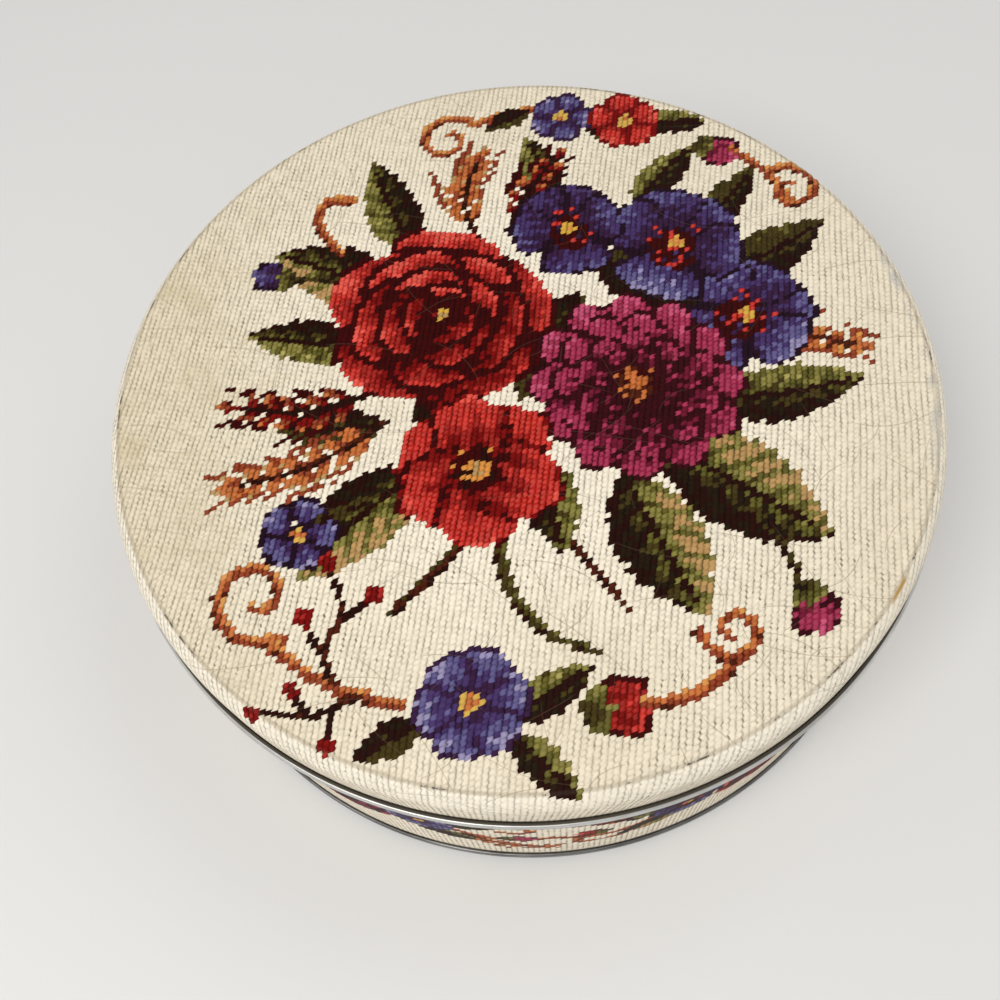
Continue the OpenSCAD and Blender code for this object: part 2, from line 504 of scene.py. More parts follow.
def poppy(cloth, x, y, size, degrees, shades):
    # broad ruffled petals, two behind and four in front, over a dark heart
    for a, reach, radius in [(35, 0.55, 0.46), (150, 0.52, 0.48), (92, 0.56, 0.44),
                             (205, 0.52, 0.46), (268, 0.56, 0.48), (330, 0.54, 0.47)]:
        a = a + degrees
        out, across = cuppedPetal(cloth, x, y, a, size * reach, size * radius)
        d = np.hypot(out, across) * (1 + 0.05 * np.sin(6 * np.arctan2(across, out) + a))
        sew(cloth, (d < 1.0 + 1.5 / (radius * size)) & cloth["worked"], 0.1, shades)
        tone = 0.40 + 0.42 * out + 0.16 * np.sin(9 * across) * (out < 0.4) + 0.1 * d
        sew(cloth, d < 1.0, tone, shades)
    disc(cloth, x, y, size * 0.30, ["claret", "bark"], 1.2)
    disc(cloth, x, y, size * 0.13, ["amber", "tan"], 0.8)
    sparks(cloth, x, y, size * 0.30, "amber", 0.12)


def dahlia(cloth, x, y, size, degrees, shades, heart):
    # rows of narrow petals from the outside in, each row dimmer than the last
    for count, length, width, start, dim in [(12, 1.0, 0.52, 0, 0), (11, 0.80, 0.43, 15, 0.1),
                                             (9, 0.60, 0.37, 5, 0.2), (7, 0.40, 0.30, 20, 0.3)]:
        for k in range(count):
            a = degrees + start + 360 * k / count
            shift = 0.16 * math.cos(math.radians(a - 120)) - dim - 0.04
            petal(cloth, x, y, a, size * length, size * width, shades, 0.9, 0.1, shades[0], shift, 1.8)
    disc(cloth, x, y, size * 0.17, heart, 0.8)
    sparks(cloth, x, y, size * 0.2, heart[-1], 0.35)


def pansy(cloth, x, y, size, degrees, back, wings, lip):
    disc(cloth, x, y, size * 0.72, ["night"])
    for a, length, width, shades in [(60, 1, 1.1, back), (118, 1, 1.1, back), (10, 0.98, 1.05, wings),
                                     (170, 0.98, 1.05, wings), (-90, 1.0, 1.3, lip)]:
        petal(cloth, x, y, degrees + a, size * length, size * width, shades, 0.75, 0, "night")
    u, v = turned(cloth, x, y, degrees - 90)
    face = (np.hypot(u * 0.9 - size * 0.1, v) < size * 0.34) & (cloth["chance"] < 0.85)
    sew(cloth, face, 0, ["claret"])
    disc(cloth, x, y, size * 0.12, ["gold", "amber"])
    sparks(cloth, x, y, size * 0.42, "scarlet", 0.16)


def sparks(cloth, x, y, r, thread, share):
    sew(cloth, (away(cloth, x, y) < r) & (cloth["chance"] < share), 0, [thread])


def starFlower(cloth, x, y, size, degrees, shades, petals=5):
    for k in range(petals):
        petal(cloth, x, y, degrees + 360 * k / petals, size, size * 0.95, shades, 0.8, 0, shades[0])
    disc(cloth, x, y, size * 0.26, [shades[0]])
    disc(cloth, x, y, size * 0.2, ["gold", "orange"], 0.4)


def leaf(cloth, x, y, degrees, length, width, shades, bend=0.0):
    # midrib bent to one side, one half in the light, side veins and a toothed edge
    u, v = turned(cloth, x, y, degrees)
    u = u / length
    v = v - bend * length * np.clip(u, 0, 1) ** 2
    half = np.sin(math.pi * np.clip(u, 0, 1) ** 0.85) ** 0.8
    half = half * (1 - 0.14 * ((u * length / 4.2) % 1))
    side = v / (width / 2)
    inside = (u > 0) & (u < 1) & (np.abs(side) < half)
    veins = 0.22 * (np.sin(u * length * 1.05 - np.abs(v) * 0.9) > 0.55)
    lit = 0.34 * np.sign(side) * np.minimum(np.abs(side) * 2, 1)
    sew(cloth, inside, 0.42 + lit + 0.28 * (1 - np.abs(side)) * u - veins, shades)
    sew(cloth, inside & (np.abs(v) < 0.75) & (u < 0.9), 0, [shades[0]])
    sew(cloth, inside & (np.abs(side) > half - 1.6 / width) & (side < 0), 0, [shades[0]])


def stroke(cloth, points, width, shades, taper=0.0):
    # a worked line through points, smoothed, lighter on its upper side
    pts = np.array(points, float)
    for _ in range(3):
        a, b = pts[:-1], pts[1:]
        cut = np.stack([a * 0.75 + b * 0.25, a * 0.25 + b * 0.75], 1).reshape(-1, 2)
        pts = np.concatenate([pts[:1], cut, pts[-1:]])
    best = np.full(cloth["x"].shape, 1e9)
    tone = np.zeros_like(best)
    for k in range(len(pts) - 1):
        a, d = pts[k], pts[k + 1] - pts[k]
        ln = max(np.hypot(*d), 1e-6)
        px, py = cloth["x"] - a[0], cloth["y"] - a[1]
        t = np.clip((px * d[0] + py * d[1]) / ln ** 2, 0, 1)
        w = width / 2 * (1 - taper * (k + t) / len(pts))
        gap = np.hypot(px - t * d[0], py - t * d[1]) / w
        side = (py * d[0] - px * d[1]) / ln / w * (1 if d[0] >= 0 else -1)
        tone = np.where(gap < best, 0.5 + 0.4 * side, tone)
        best = np.minimum(best, gap)
    sew(cloth, best < 1, tone, shades)


def sprig(cloth, points, grain, shades, stem="bark", every=4.0):
    # an ear on a stem: slim grains apart from each other on both sides, each with a beard of one thread
    pts = np.array(points, float)
    legs = np.hypot(*np.diff(pts, axis=0).T)
    total, walked = legs.sum(), 0.0
    for k in range(len(pts) - 1):
        d = (pts[k + 1] - pts[k]) / legs[k]
        heading = math.degrees(math.atan2(d[1], d[0]))
        step = 0.0
        while step < legs[k]:
            at = pts[k] + d * step
            size = grain * (1 - 0.35 * (walked + step) / total)
            for turn in (34, -34) if walked + step > total * 0.12 else ():
                tip = at + toward(heading + turn) * size
                stroke(cloth, [tip, tip + toward(heading + turn * 0.5) * size * 0.8], 1.0, [shades[1]])
                petal(cloth, at[0], at[1], heading + turn, size, 2.9, shades, 0.3)
            step += every
        walked += legs[k]
    stroke(cloth, points, 1.7, [stem, shades[0]], 0.4)
    petal(cloth, pts[-1][0], pts[-1][1], heading, grain * 0.8, 2.8, shades)


def twig(cloth, points, size, shades, turns):
    # a thin branching stem with a small closed bud at the end of each side shoot
    pts = np.array(points, float)
    stroke(cloth, points, 1.9, ["bark", "umber"], 0.3)
    for k, turn in enumerate(turns):
        t = (k + 1) / len(turns) * (len(pts) - 1)
        i = min(int(t), len(pts) - 2)
        d = pts[i + 1] - pts[i]
        at = pts[i] + d * (t - i)
        a = math.degrees(math.atan2(d[1], d[0])) + turn
        tip = at + toward(a) * size * 0.9
        stroke(cloth, [at, tip], 1.5, ["bark"])
        petal(cloth, *tip, a, size, size * 0.72, shades, 0.3)


def bud(cloth, x, y, degrees, size, shades):
    for a in (16, -16):
        petal(cloth, x, y, degrees + a, size, size * 0.55, shades, 0.4, 0, shades[0])
    petal(cloth, x, y, degrees, size * 1.05, size * 0.5, shades, 0.5)
    for a in (38, -38, 0):
        petal(cloth, x, y, degrees + a, size * 0.48, size * 0.3, ["pine", "forest", "moss", "olive"], 0.3)


def scroll(cloth, x, y, degrees, size, way, shades, width):
    # an open C curve that rolls up at its end
    points = [toward(degrees + way * (-110 + 420 * t)) * size * (1 - 0.78 * t) + [x, y]
              for t in np.linspace(0, 1, 15)]
    stroke(cloth, points, width, shades, 0.35)


greens = ["bark", "pine", "forest", "moss", "olive", "lime"]
deepGreens = ["bark", "pine", "forest", "forest", "moss"]
autumnGreens = ["bark", "pine", "forest", "moss", "olive", "tan", "straw"]
crimsons = ["claret", "claret", "garnet", "crimson", "scarlet", "coral"]
magentas = ["wine", "wine", "plum", "fuchsia", "fuchsia", "rose"]
violets = ["night", "violet", "violet", "iris", "blue"]
blues = ["night", "violet", "iris", "blue", "sky"]
starBlues = ["violet", "iris", "blue", "sky"]
berries = ["claret", "garnet", "crimson"]
rusts = ["umber", "rust", "orange", "amber"]
ripeGrain = ["umber", "rust", "orange", "orange", "tan"]
redGrain = ["bark", "claret", "garnet", "rust", "orange"]


# the lid's picture, stems and leaves first and flowers over them: a motif, then its settings
lidPicture = [
    (stroke, [(-4, -34), (-10, -48), (-20, -60)], 3.4, ["bark", "umber", "forest"], 0.5),
    (stroke, [(0, -34), (2, -50), (12, -62), (24, -64)], 3.6, ["bark", "forest", "moss"], 0.6),
    (stroke, [(4, -30), (20, -44), (30, -54)], 2.8, ["bark", "umber"], 0.5),
    (leaf, -34, 22, 158, 34, 19, autumnGreens, 0.10),
    (leaf, -38, 8, 190, 30, 14, greens, -0.12),
    (leaf, -30, 36, 128, 33, 15, greens, -0.14),
    (leaf, 34, -14, -22, 42, 25, autumnGreens, -0.08),
    (leaf, 26, -22, -62, 38, 21, autumnGreens, 0.08),
    (leaf, 44, 0, 6, 36, 16, greens, 0.12),
    (leaf, -20, -26, -134, 36, 20, autumnGreens, 0.1),
    (leaf, -30, -14, -164, 26, 12, deepGreens, -0.1),
    (leaf, 46, 36, 30, 30, 15, deepGreens, 0.1),
    (leaf, 2, 54, 104, 24, 11, greens, 0.16),
    (leaf, 24, 54, 72, 26, 11, greens, -0.2),
    (leaf, 40, 50, 50, 24, 10, deepGreens, 0.15),
    (leaf, 0, 24, -50, 30, 18, deepGreens),
    (leaf, 12, 26, -110, 34, 18, deepGreens),
    (leaf, 14, 38, -20, 34, 20, deepGreens),
    (leaf, 36, 34, -60, 24, 16, greens),
    (leaf, -24, -8, -30, 24, 16, deepGreens),
    (leaf, 8, -20, -80, 24, 14, greens, 0.1),
    (sprig, [(-16, 42), (-22, 55), (-19, 66)], 8.5, ripeGrain, "bark", 4.6),
    (sprig, [(-8, 44), (-5, 57), (1, 68)], 7.0, redGrain, "bark", 4.4),
    (sprig, [(-34, -6), (-50, -14), (-64, -14)], 9.0, redGrain, "bark", 4.8),
    (sprig, [(-30, -14), (-46, -28), (-60, -34)], 8.5, ripeGrain, "bark", 4.8),
    (sprig, [(54, 14), (66, 19), (77, 17)], 7.0, rusts, "umber", 4.6),
    (stroke, [(-50, 34), (-58, 42), (-57, 51), (-50, 51)], 2.8, rusts),
    (stroke, [(-46, 26), (-62, 24)], 2.2, ["pine", "forest"]),
    (bud, -60, 24, 174, 11, violets),
    (stroke, [(52, -28), (62, -36), (66, -46)], 2.2, ["bark", "forest"], 0.3),
    (bud, 66, -44, -70, 12, magentas),
    (starFlower, -44, -44, 9.5, 12, blues),
    (stroke, [(-30, -34), (-40, -40)], 2.2, ["bark", "forest"]),
    (pansy, 52, 24, 17, -46, violets, blues, blues),
    (pansy, 34, 44, 18, -16, violets, violets, blues),
    (pansy, 7, 46, 15, 18, ["night", "violet", "iris"], violets, violets),
    (cabbageRose, -22, 17, 28, 20, crimsons),
    (dahlia, 27, 2, 26, 8, magentas, ["claret", "umber", "orange"]),
    (poppy, -7, -24, 19, 14, ["claret", "garnet", "crimson", "scarlet", "scarlet", "coral"]),

    # garland along the front edge
    (scroll, -50, -60, 200, 11, -1, rusts, 3.2),
    (stroke, [(-44, -70), (-30, -78), (-14, -80)], 3.0, rusts, 0.2),
    (twig, [(-29, -77), (-34, -70), (-30, -63), (-32, -57)], 5.6, berries, (64, -60, 12)),
    (twig, [(-24, -79), (-31, -84), (-38, -84)], 5.0, berries, (56, -50, 6)),
    (leaf, 8, -80, 34, 20, 10, greens, 0.1),
    (leaf, -8, -82, -150, 18, 8, deepGreens, 0.1),
    (leaf, 8, -84, -28, 19, 9, greens, -0.1),
    (starFlower, 0, -78, 12.5, 18, ["violet", *starBlues], 6),
    (bud, 22, -77, 14, 15, [*berries, "scarlet"]),
    (stroke, [(35, -74), (46, -71), (53, -62)], 2.8, rusts),
    (scroll, 52, -56, -60, 7, 1, rusts, 2.8),

    # garland along the back edge
    (scroll, -28, 74, 150, 9, 1, rusts, 2.8),
    (stroke, [(-22, 80), (-12, 86), (0, 88)], 2.8, rusts, 0.2),
    (leaf, -8, 86, -150, 13, 7, deepGreens, 0.1),
    (leaf, 10, 88, -80, 14, 8, deepGreens, 0.1),
    (leaf, 22, 84, 10, 18, 9, greens, -0.1),
    (starFlower, 1, 84, 9, 0, starBlues),
    (starFlower, 18, 84, 10, 30, ["garnet", "crimson", "scarlet", "coral"]),
    (bud, 37, 78, -22, 12, magentas),
    (stroke, [(47, 76), (57, 69), (62, 60)], 2.6, rusts),
    (scroll, 62, 64, 20, 8, -1, rusts, 2.8),
]


def workMotifs(cloth, motifs):
    for motif, *settings in motifs:
        motif(cloth, *settings)


def workWallBand(cloth, repeats, repeat):
    # the garland round the side, one repeat at a time, with the scrolls at the middle of the front
    end = repeat / 2
    for k in range(repeats):
        part = dict(cloth, x=cloth["x"] - (k - (repeats - 1) / 2) * repeat)
        workMotifs(part, [
            (stroke, [(-end, 24), (-38, 17), (-22, 32), (0, 28), (22, 34), (38, 20), (end, 24)], 3, rusts),
            (stroke, [(27, 34), (38, 40), (47, 36), (44, 30), (39, 32)], 2.4, rusts),
            (stroke, [(-27, 22), (-37, 12), (-47, 14), (-45, 21)], 2.4, rusts),
            (leaf, -24, 32, 150, 20, 10, greens, 0.1),
            (leaf, 24, 32, 30, 18, 10, autumnGreens, -0.1),
            (leaf, -20, 26, 210, 20, 10, autumnGreens, 0.1),
            (leaf, 18, 26, -34, 20, 10, greens, 0.1),
            (leaf, -6, 36, 80, 14, 8, deepGreens, 0.1),
            (cabbageRose, 0, 29, 14, 15 + 20 * k, crimsons if k % 2 else magentas),
            (pansy, -20, 30, 10, 10, violets, violets, blues),
            (starFlower, 20, 31, 9.5, 20, starBlues, 6),
            (sprig, [(30, 24), (40, 13), (49, 11)], 5.0, ripeGrain),
            (sprig, [(-32, 30), (-40, 38), (-49, 40)], 5.0, redGrain),
            (bud, 38, 24, -10, 9, magentas),
            (bud, -38, 24, 170, 9, [*berries, "coral"]),
        ])


# places of a mesh's corners, and a flat grid to start from
def vertexPlaces(mesh):
    co = np.empty(len(mesh.vertices) * 3)
    mesh.vertices.foreach_get("co", co)
    return co.reshape(-1, 3)


def placeVertices(mesh, co):
    mesh.vertices.foreach_set("co", co.ravel())
    mesh.update()


def newGrid(name, columns, rows):
    # gives the grid, its places, and the column and row that each of its corners is in
    bpy.ops.mesh.primitive_grid_add(x_subdivisions=columns, y_subdivisions=rows, size=2, location=(0, 0, 0))
    grid = bpy.context.object
    grid.name = grid.data.name = name
    co = vertexPlaces(grid.data)
    return grid, co, *(np.rint((co[:, a] + 1) / 2 * n).astype(int) for a, n in ((0, columns), (1, rows)))


# the printed canvas as a lattice, with two faces for each stitch
def stitchGrid(edges, rows, pitch):
    x = (edges[1:] + edges[:-1]) / 2
    y = (np.arange(rows) + 0.75 - rows / 2) * pitch
    return np.meshgrid(x, y, indexing="ij")


def layCanvas(name, s, edges, rows, closed=False):
    # a flat lattice of stitches: column k lies between edges k and k+1, and each stitch leans half a row
    # up as it crosses its rib, and bulges a little into its neighbours
    rng = np.random.default_rng(s["seed"])
    ribs = len(edges) - 1
    canvas, co, i, j = newGrid(name, ribs, 2 * rows + ribs)
    j = j + i - ribs
    inner = (i > 0) & (i < ribs) if closed else np.ones(len(i), bool)
    bulge = np.where((j + i) % 2 == 0, 1, -1) * s["bulge"] * np.ptp(edges) / ribs
    co[:, 0] = edges[i] + inner * (bulge + rng.normal(0, s["wobble"], len(i)))
    co[:, 1] = (j / 2 - rows / 2) * s["rowPitch"] + inner * rng.normal(0, s["wobble"], len(i))
    placeVertices(canvas.data, co)
    corner = np.empty(len(canvas.data.loops), int)
    canvas.data.loops.foreach_get("vertex_index", corner)
    weave = canvas.data.uv_layers.new(name="weave")
    weave.data.foreach_set("uv", (np.stack([i, j / 2], 1)[corner] / weaveSpan).ravel())
    return canvas


def threadStitches(mesh, cloth):
    # every face takes the thread of the stitch that its middle lies in
    uv = np.empty(len(mesh.loops) * 2)
    mesh.uv_layers["weave"].data.foreach_get("uv", uv)
    starts, totals = np.empty(len(mesh.polygons), int), np.empty(len(mesh.polygons), int)
    mesh.polygons.foreach_get("loop_start", starts)
    mesh.polygons.foreach_get("loop_total", totals)
    u, v = (np.add.reduceat(uv.reshape(-1, 2) * weaveSpan, starts) / totals[:, None]).T
    columns, rows = cloth["x"].shape
    column = np.clip(np.floor(u), 0, columns - 1).astype(int)
    row = np.clip(np.floor(v - (u - column) / 2), 0, rows - 1).astype(int)
    values = np.ones((len(mesh.loops), 4))
    values[:, :3] = np.repeat(cloth["paint"][column, row], totals, axis=0)
    thread = mesh.color_attributes.new("thread", "FLOAT_COLOR", "CORNER")
    thread.data.foreach_set("color", values.ravel())


# shaping the sheets
def arcPoints(centre, radius, start, stop, steps):
    angles = np.radians(np.linspace(start, stop, steps + 1))
    return [(centre[0] + radius * math.cos(a), centre[1] + radius * math.sin(a)) for a in angles]


def openMesh():
    return bmesh.from_edit_mesh(bpy.context.object.data)


def selectFaces(rule):
    bm = openMesh()
    for face in bm.faces:
        face.select_set(not face.hide and rule(face))
    bm.select_flush_mode()


def dropFaces(rule):
    selectFaces(rule)
    bpy.ops.mesh.delete(type="FACE")


def selectRim(rule=lambda edge: True):
    # of the open edges, those that the rule holds for
    bpy.ops.mesh.select_mode(type="EDGE")
    bpy.ops.mesh.select_all(action="DESELECT")
    for edge in openMesh().edges:
        if edge.is_boundary and rule(edge):
            edge.select_set(True)


def rollRings(points):
    # from the selected ring of edges on, the sheet is drawn out from one (radius, height) to the next
    (r, z), rest = points[0], points[1:]
    bm = openMesh()
    bm.edges.index_update()
    marked = [e.index for e in bm.edges if e.select]
    bpy.ops.mesh.primitive_circle_add(vertices=ringSteps, radius=r * mm, location=(0, 0, z * mm))
    if marked:
        bm = openMesh()
        bm.edges.ensure_lookup_table()
        for k in marked:
            bm.edges[k].select_set(True)
        bpy.ops.mesh.bridge_edge_loops()
        selectRim(lambda e: all(abs(v.co.z - z * mm) < tinyGap and abs(v.co.xy.length - r * mm) < tinyGap
                                for v in e.verts))
    for nextR, nextZ in rest:
        bpy.ops.mesh.extrude_region_move(TRANSFORM_OT_translate={"value": (0, 0, (nextZ - z) * mm)})
        k = nextR / r if r else 1
        bpy.ops.transform.resize(value=(k, k, 1), center_override=(0, 0, 0))
        r, z = nextR, nextZ


def bareFrom(first):
    # faces made since then have the piece's second material
    bm = openMesh()
    bm.faces.ensure_lookup_table()
    for face in bm.faces[first:]:
        face.material_index = 1


def weld():
    bpy.ops.mesh.select_all(action="SELECT")
    bpy.ops.mesh.remove_doubles(threshold=2 * tinyGap)


def closeSheet():
    weld()
    bpy.ops.mesh.normals_make_consistent(inside=False)
    objectMode()
    bpy.ops.object.shade_smooth_by_angle(angle=math.radians(40))


# the pressed lid
lidSheet = {
    "panelTop": 68.0573,   # height of the flat panel
    "creaseAt": (95.45, 67.5573), "creaseRadius": 0.5, "creaseFrom": 60,
    "shoulderAt": (92.95, 63.2272), "shoulderRadius": 5.5,
    "skirtFoot": 53.9573,   # where the skirt starts to curl
    "curlAt": (99.1, 53.9573), "curlMiddle": 0.775, "curlTurn": 300,
    "thickness": 0.25,
    "innerRings": (80, 40, 0),
    "ribs": 168, "ribPitch": 1.335, "ribSpread": 0.035,
    "ribGrowth": 0.0009,   # ribs grow a little wider to the right
    "rows": 184, "rowPitch": 1.25,
    "leanOfCloth": -10.7,   # degrees that the canvas is turned on the lid
    "cutFrom": 93,   # inside this radius the blank stays flat and needs no cut
    "wobble": 0.06, "bulge": 0.09, "seed": 7,
}


def lidOutside():
    # radius and height of the printed face from the middle to the skirt's foot, the way along it,
    # and the radius on the flat blank that has the same area inside it
    s = lidSheet
    line = [(0.0, s["panelTop"]), (s["creaseAt"][0], s["panelTop"])]
    line += arcPoints(s["creaseAt"], s["creaseRadius"], 90, s["creaseFrom"], 6)[1:]
    line += arcPoints(s["shoulderAt"], s["shoulderRadius"], s["creaseFrom"], 0, 30)[1:]
    line = np.array(line + [(line[-1][0], s["skirtFoot"])])
    step = np.hypot(*np.diff(line, axis=0).T)
    way = np.concatenate([[0], np.cumsum(step)])
    area = np.concatenate([[0], np.cumsum(step * (line[1:, 0] + line[:-1, 0]))])
    return line, way, np.sqrt(area)


def layLidCanvas():
    # the ribs differ a little in width, and the cloth lies turned and in slight waves
    s = lidSheet
    rng = np.random.default_rng(s["seed"])
    widths = s["ribPitch"] * (1 + rng.normal(0, s["ribSpread"], s["ribs"]))
    edges = np.concatenate([[0], np.cumsum(widths)])
    edges -= edges[s["ribs"] // 2]
    edges = edges * (1 + s["ribGrowth"] / 2 * edges / s["ribPitch"])
    cloth = newCloth(*stitchGrid(edges, s["rows"], s["rowPitch"]), s["seed"])
    workMotifs(cloth, lidPicture)
    print("bobbin box: lid picture worked,", int(cloth["worked"].sum()), "coloured stitches")

    lid = layCanvas("lidShell", s, edges, s["rows"])
    co = vertexPlaces(lid.data)
    # each wave is its height times the sine of the place over its length
    x = co[:, 0] + 0.30 * np.sin(co[:, 1] / 19 + 2) + 0.16 * np.sin(co[:, 1] / 6.1 + co[:, 0] / 30)
    y = co[:, 1] + 0.35 * np.sin(co[:, 0] / 13 + 1) + 0.20 * np.sin(co[:, 0] / 5.3)
    cosine, sine = toward(s["leanOfCloth"])
    co[:, 0] = (x * cosine - y * sine) * mm
    co[:, 1] = (x * sine + y * cosine) * mm
    placeVertices(lid.data, co)
    return lid, cloth


def cutBlank(bends, rim):
    # a disc of canvas, cut along the rings where it will bend by tubes that stand through it
    def standing(face):
        return abs(face.normal.z) < 0.5

    editMode()
    bpy.ops.mesh.select_mode(type="FACE")
    dropFaces(lambda f: f.calc_center_median().length > (rim + spareCloth) * mm)
    selectFaces(lambda f: f.calc_center_median().length < lidSheet["cutFrom"] * mm)
    bpy.ops.mesh.hide(unselected=False)
    for r in (*bends, rim):
        bpy.ops.mesh.primitive_cylinder_add(vertices=ringSteps, radius=r * mm, depth=4 * mm,
                                            end_fill_type="NOTHING")
    selectFaces(standing)
    bpy.ops.mesh.intersect(mode="SELECT_UNSELECT", separate_mode="NONE", solver="EXACT")
    bpy.ops.mesh.reveal(select=False)
    dropFaces(lambda f: standing(f) or f.calc_center_median().length > rim * mm)
    bpy.ops.mesh.select_all(action="SELECT")
    bpy.ops.mesh.delete_loose(use_verts=True, use_edges=True, use_faces=False)
    objectMode()


def buildLid():
    s = lidSheet
    lid, cloth = layLidCanvas()
    mesh = lid.data
    line, way, blank = lidOutside()
    bends = s["creaseAt"][0] + s["creaseRadius"] * np.radians([0, 15, 30])
    bends = np.concatenate([bends, bends[-1] + s["shoulderRadius"] * np.radians(np.arange(10, 61, 10))])
    cutBlank(np.interp(bends, way, blank), blank[-1])
    threadStitches(mesh, cloth)

    # press the blank over the panel, crease, shoulder and skirt
    co = vertexPlaces(mesh)
    r = np.maximum(np.hypot(co[:, 0], co[:, 1]) / mm, 1e-6)
    co[:, :2] *= (np.interp(r, blank, line[:, 0]) / r)[:, None]
    co[:, 2] = np.interp(r, blank, line[:, 1]) * mm
    placeVertices(mesh, co)

    # roll the curl outwards and bring the sheet's inner face back up to the middle
    t = s["thickness"] / 2
    stop = 180 + s["curlTurn"]
    ring = arcPoints(s["curlAt"], s["curlMiddle"] - t, 180, stop, 12)[1:]
    ring += arcPoints(s["curlAt"], s["curlMiddle"] + t, stop, 180, 20)
    ring += arcPoints(s["shoulderAt"], s["shoulderRadius"] - 2 * t, 0, s["creaseFrom"], 5)
    ring += arcPoints(s["creaseAt"], s["creaseRadius"] - 2 * t, s["creaseFrom"], 90, 2)[1:]
    ring += [(r, s["panelTop"] - 2 * t) for r in s["innerRings"]]
    printed = len(mesh.polygons)
    editMode()
    selectRim()
    rollRings(ring)
    bareFrom(printed)
    closeSheet()
    return lid


lidShell = buildLid()
finishPiece(lidShell, "lid", "lid_print", "lid")


# the wall, a tube with a curl at its top and the seam's hook at its foot
wallSheet = {
    "outside": 97.9, "thickness": 0.25,
    "rimCurlAt": (96.9, 64.5), "rimCurlMiddle": 0.875, "rimCurlTurn": 300,
    "hookTop": 2.295, "hookTopRadius": 98.335, "hookBendAt": (98.055, 0.685), "hookBend": 0.28,
    "printFrom": 3.4, "printTo": 56.0, "ringAbovePrint": 58.0,
    "innerRings": (40, 20),
    "ribs": 456, "rowPitch": 1.25, "repeats": 6,
    "wobble": 0.05, "bulge": 0.09, "seed": 11,
}


def buildWall():
    s = wallSheet
    outside, t = s["outside"], s["thickness"]
    around = 2 * math.pi * outside
    edges = np.linspace(-around / 2, around / 2, s["ribs"] + 1)
    height = s["printTo"] - s["printFrom"]
    rows = int(height / s["rowPitch"]) + 3
    x, y = stitchGrid(edges, rows, s["rowPitch"])
    cloth = newCloth(x, y + height / 2, s["seed"])
    workWallBand(cloth, s["repeats"], around / s["repeats"])

    wall = layCanvas("wallShell", s, edges, rows, closed=True)
    mesh = wall.data
    editMode()
    bpy.ops.mesh.select_mode(type="FACE")
    dropFaces(lambda f: abs(f.calc_center_median().y) > height / 2 + spareCloth)
    for side in (1, -1):
        bpy.ops.mesh.select_all(action="SELECT")
        bpy.ops.mesh.bisect(plane_co=(0, side * height / 2, 0), plane_no=(0, side, 0), clear_outer=True)
    objectMode()
    threadStitches(mesh, cloth)

    # roll the strip into a tube, its ends meeting at the back
    co = vertexPlaces(mesh)
    angle = co[:, 0] / outside - math.pi / 2
    z = co[:, 1] + height / 2 + s["printFrom"]
    placeVertices(mesh, np.stack([outside * np.cos(angle), outside * np.sin(angle), z], 1) * mm)
    editMode()
    weld()
    objectMode()

    # curl the rim inwards, go down the inside and round the hook, and close on the print's lower edge
    stop = s["rimCurlTurn"]
    ring = [(outside, s["ringAbovePrint"])]
    ring += arcPoints(s["rimCurlAt"], s["rimCurlMiddle"] + t / 2, 0, stop, 16)
    ring += arcPoints(s["rimCurlAt"], s["rimCurlMiddle"] - t / 2, stop, 0, 12)
    ring += [(outside - t, z) for z in s["innerRings"]]
    ring += arcPoints(s["hookBendAt"], s["hookBend"] + t / 2, 180, 360, 8)
    ring += [(s["hookTopRadius"] + t / 2, s["hookTop"]), (s["hookTopRadius"] - t / 2, s["hookTop"])]
    ring += arcPoints(s["hookBendAt"], s["hookBend"] - t / 2, 360, 180, 6)
    printed = len(mesh.polygons)
    editMode()
    selectRim(lambda e: e.verts[0].co.z > height / 2 * mm)
    rollRings(ring)
    selectRim()
    bpy.ops.mesh.bridge_edge_loops()
    bareFrom(printed)
    closeSheet()
    return wall


wallShell = buildWall()
finishPiece(wallShell, "tin_body", "body_print", "body_wall")


# the base, folded round the wall's hook
baseSheet = {
    "panel": 3.325, "thickness": 0.25, "innerRing": 40.0,
    "beadAt": 83.9, "beadHalf": 3.1607, "beadRadius": 3.0, "beadTurn": 31.79, "beadHeight": 0.9,
    "cornerAt": (96.17, 2.0), "corner": 1.325,
    "chuck": 97.495, "foot": 0.3, "footHeight": 0.425,
    "seamOut": 98.615, "coverAt": (98.335, 2.595), "cover": 0.28, "coverHook": (98.055, 0.985),
}


def baseSide(off):
    # one face of the base's sheet, off millimetres to the right of its middle line
    s = baseSheet
    bead, half, turn, at = s["beadRadius"], s["beadHalf"], s["beadTurn"], s["beadAt"]
    low, high = s["panel"] + bead, s["panel"] + s["beadHeight"] - bead
    line = [(s["innerRing"], s["panel"] - off)]
    for centre, radius, start, stop, steps in (
            ((at - half, low), bead, 270, 270 + turn, 3),
            ((at, high), bead, 90 + turn, 90 - turn, 6),
            ((at + half, low), bead, 270 - turn, 270, 3),
            (s["cornerAt"], s["corner"], 90, 0, 6),
            ((s["chuck"] + s["foot"], s["footHeight"]), s["foot"], 180, 270, 5),
            ((s["seamOut"] - s["foot"], s["footHeight"]), s["foot"], 270, 360, 5),
            (s["coverAt"], s["cover"], 0, 180, 8)):
        line += arcPoints(centre, radius + (off if stop > start else -off), start, stop, steps)
    return line + [(s["coverHook"][0] - off, s["coverHook"][1])]


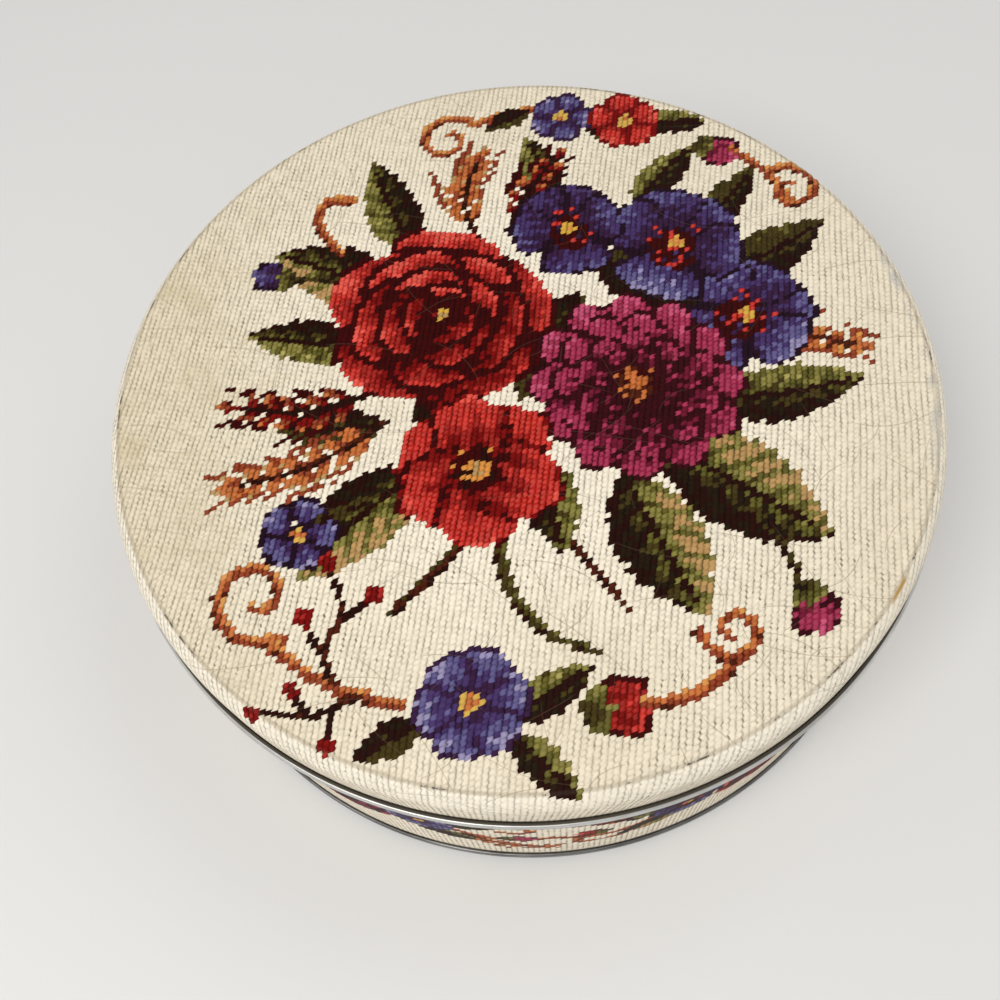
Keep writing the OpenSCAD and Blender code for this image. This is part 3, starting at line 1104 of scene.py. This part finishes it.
def buildBase():
    half = baseSheet["thickness"] / 2
    under, over = baseSide(half), baseSide(-half)
    bpy.ops.mesh.primitive_circle_add(vertices=ringSteps, radius=under[0][0] * mm, location=(0, 0, 0))
    base = bpy.context.object
    base.name = base.data.name = "baseShell"
    editMode()
    bpy.ops.mesh.delete(type="VERT")
    rollRings(under + over[::-1] + [(0.0, over[0][1])])
    bareFrom(ringSteps * len(under))   # the inside stays bright
    selectRim(lambda e: abs(e.verts[0].co.z - under[0][1] * mm) < tinyGap and e.verts[0].co.xy.length > mm)
    bpy.ops.mesh.extrude_region_move(TRANSFORM_OT_translate={"value": (0, 0, 0)})
    bpy.ops.transform.resize(value=(0, 0, 1), center_override=(0, 0, 0))
    closeSheet()
    return base


baseShell = buildBase()
finishPiece(baseShell, "tin_body", "base_tinplate", "base")

seamFolds = {
    "halfWidth": 2.5, "pitch": 0.28, "thickness": 0.2,
    "outerLayer": 97.7109,   # distance of the outer layer from the tin's axis
    "tuck": 0.5,   # how far the outer layer runs on into the wall
    "from": 4.3, "to": 62.95,
}


def buildSeam():
    # the wall's two ends, each folded back and hooked into the other
    s = seamFolds
    half, p, y1 = s["halfWidth"], s["pitch"], s["outerLayer"]
    y2, y3, y4 = y1 - p, y1 - 2 * p, y1 - 3 * p
    reach = half + 3 * p + s["tuck"]
    first = [(-reach, y1)] + arcPoints((half, y2), p, 90, -90, 6) + [(-half + p, y3)]
    second = [(half - p, y2)] + arcPoints((-half, y3), p, 90, 270, 6)
    second += arcPoints((half + p, y4 + p), p, -90, 0, 4)
    second += arcPoints((half + 3 * p, y1 - p), p, 180, 90, 4) + [(reach, y1)]
    strips = []
    for line in (first, second):
        strip, _, column, row = newGrid("sideSeam", len(line) - 1, 1)
        z = np.where(row > 0, s["to"], s["from"])
        placeVertices(strip.data, np.column_stack([np.array(line)[column], z]) * mm)
        folded = strip.modifiers.new("sheet", "SOLIDIFY")
        folded.thickness, folded.offset = s["thickness"] * mm, 0
        bpy.ops.object.modifier_apply(modifier="sheet")
        strips.append(strip)
    deselectAll()
    for strip in strips:
        strip.select_set(True)
    bpy.context.view_layer.objects.active = strips[0]
    bpy.ops.object.join()
    editMode()
    closeSheet()
    return strips[0]


sideSeam = buildSeam()
finishPiece(sideSeam, "tin_body", "body_print")

lidPrint = makePrint("printedLid", True)
wallPrint = makePrint("printedWall", False)
lidTin = makeTin("lidBareTin", "clean", True)
wallTin = makeTin("wallBareTin", "clean")
baseTin = makeTin("baseDarkTin", "dark")
for piece, *finishes in ((lidShell, lidPrint, lidTin), (wallShell, wallPrint, wallTin),
                         (baseShell, baseTin, wallTin), (sideSeam, wallTin)):
    for finish in finishes:
        piece.data.materials.append(finish)
print("bobbin box: print and tinplate on")

# camera, floor and light
view = {
    "place": (0.0, -0.1336387, 0.27697906),
    "right": (0.99659297, -0.05774745, -0.05888712),
    "up": (0.0777822, 0.89551088, 0.43818969),
    "angle": 51.125,
}
studio = {
    "floorSize": 4, "floorColour": (0.8, 0.79, 0.77, 1), "floorRoughness": 0.6,
    "skyColour": (1, 1, 1, 1), "skyStrength": 0.5,
    # name, place, size and power of each lamp; both shine at the middle of the tin's foot
    "lamps": [("keyBox", (-0.28, -0.38, 0.75), 0.4, 3.5), ("fillBox", (0.9, 0.6, 1.4), 1.2, 4.8)],
}
right, up = Vector(view["right"]), Vector(view["up"])
bpy.ops.object.camera_add(location=view["place"])
camera = bpy.context.object
camera.name = "boxView"
camera.rotation_euler = Matrix((right, up, right.cross(up))).transposed().to_euler()
camera.data.angle = math.radians(view["angle"])
camera.data.clip_start = 0.01
bpy.context.scene.camera = camera

bpy.ops.mesh.primitive_plane_add(size=studio["floorSize"], location=(0, 0, 0))
floor = bpy.context.object
floor.name = "tableTop"
floorMaterial, _, floorShader = newMaterial("paleTable")
setInputs(floorShader, {"Base Color": studio["floorColour"], "Roughness": studio["floorRoughness"]})
floor.data.materials.append(floorMaterial)

world = bpy.data.worlds.new("studio")
bpy.context.scene.world = world
world.use_nodes = True
setInputs(world.node_tree.nodes["Background"], {
    "Color": studio["skyColour"], "Strength": studio["skyStrength"]})
for name, place, size, power in studio["lamps"]:
    bpy.ops.object.light_add(type="AREA", location=place)
    lamp = bpy.context.object
    lamp.name = name
    lamp.data.size = size
    lamp.data.energy = power
    lamp.rotation_euler = Vector(place).to_track_quat("Z", "Y").to_euler()
print("bobbin box: camera, floor and light set")

bpy.context.scene.view_settings.view_transform = "Standard"
